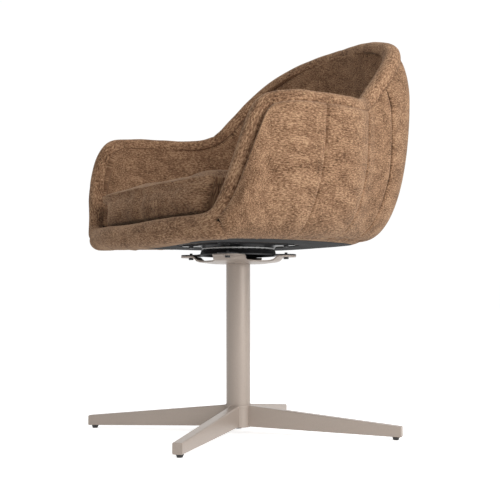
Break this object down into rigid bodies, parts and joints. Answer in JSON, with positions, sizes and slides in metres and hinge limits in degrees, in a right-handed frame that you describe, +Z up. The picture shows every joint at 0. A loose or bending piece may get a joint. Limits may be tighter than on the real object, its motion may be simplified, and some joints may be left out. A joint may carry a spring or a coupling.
{
  "type": "swivel dining chair",
  "caption": "Upholstered tub chair with a padded rim and loose box cushion, turning on a ball-bearing plate over a column with tapered metal legs.",
  "frame": {"origin": "on the floor, under the swivel axis", "axes": "+Z up, the chair faces -Y, +X is the sitter's left"},
  "size_m": [0.7072, 0.5918, 0.8427],
  "materials": {
    "frame_paint": "satin powder coat",
    "black_steel": "semi-gloss black coat",
    "zinc": "zinc plated",
    "ball_steel": "polished",
    "glide_plastic": "matte black",
    "plywood": "raw plywood",
    "shell_plastic": "moulded",
    "black_cloth": "non-woven",
    "chenille": "brushed chenille"
  },
  "bodies": {
    "base": {"hub": "frame_paint", "leg_front_left": "frame_paint", "leg_back_left": "frame_paint", "leg_back_right": "frame_paint", "leg_front_right": "frame_paint", "glide_nuts": "zinc", "column": "frame_paint", "hub_bolt": "black_steel", "spider": "frame_paint", "spider_bolts": "black_steel", "lower_swivel_plate": "black_steel"},
    "cage": {"ball_cage": "zinc", "bearing_balls": "ball_steel"},
    "seat": {"upper_swivel_plate": "black_steel", "swivel_pivot": "zinc", "pivot_nut": "zinc", "seat_screws": "black_steel", "tee_nuts": "zinc", "seat_board": "plywood", "dust_cover": "black_cloth", "deck_pad": "black_cloth", "seat_shell": "shell_plastic", "front_lip": "chenille", "left_side_cover": "chenille", "right_side_cover": "chenille", "back_cover": "chenille", "left_lining": "chenille", "right_lining": "chenille", "back_lining": "chenille", "front_rim_band": "chenille", "left_arm_band": "chenille", "right_arm_band": "chenille", "back_rim_band": "chenille", "seat_cushion": "chenille"},
    "glide_front_left": {"glide_front_left": "glide_plastic"},
    "glide_back_left": {"glide_back_left": "glide_plastic"},
    "glide_back_right": {"glide_back_right": "glide_plastic"},
    "glide_front_right": {"glide_front_right": "glide_plastic"}
  },
  "joints": [
    {"name": "seat_swivel", "type": "hinge", "parent": "base", "child": "seat", "pos_m": [0, 0, 0.3825], "axis": [0, 0, 1], "continuous": true},
    {"name": "cage_spin", "type": "hinge", "parent": "base", "child": "cage", "pos_m": [0, 0, 0.3825], "axis": [0, 0, 1], "continuous": true},
    {"name": "glide_front_left_level", "type": "slide", "parent": "base", "child": "glide_front_left", "axis": [0, 0, -1], "range_m": [0, 0.005]},
    {"name": "glide_back_left_level", "type": "slide", "parent": "base", "child": "glide_back_left", "axis": [0, 0, -1], "range_m": [0, 0.005]},
    {"name": "glide_back_right_level", "type": "slide", "parent": "base", "child": "glide_back_right", "axis": [0, 0, -1], "range_m": [0, 0.005]},
    {"name": "glide_front_right_level", "type": "slide", "parent": "base", "child": "glide_front_right", "axis": [0, 0, -1], "range_m": [0, 0.005]}
  ],
  "couplings": [
    {"joint": "cage_spin", "follows": "seat_swivel", "ratio": 0.5}
  ]
}
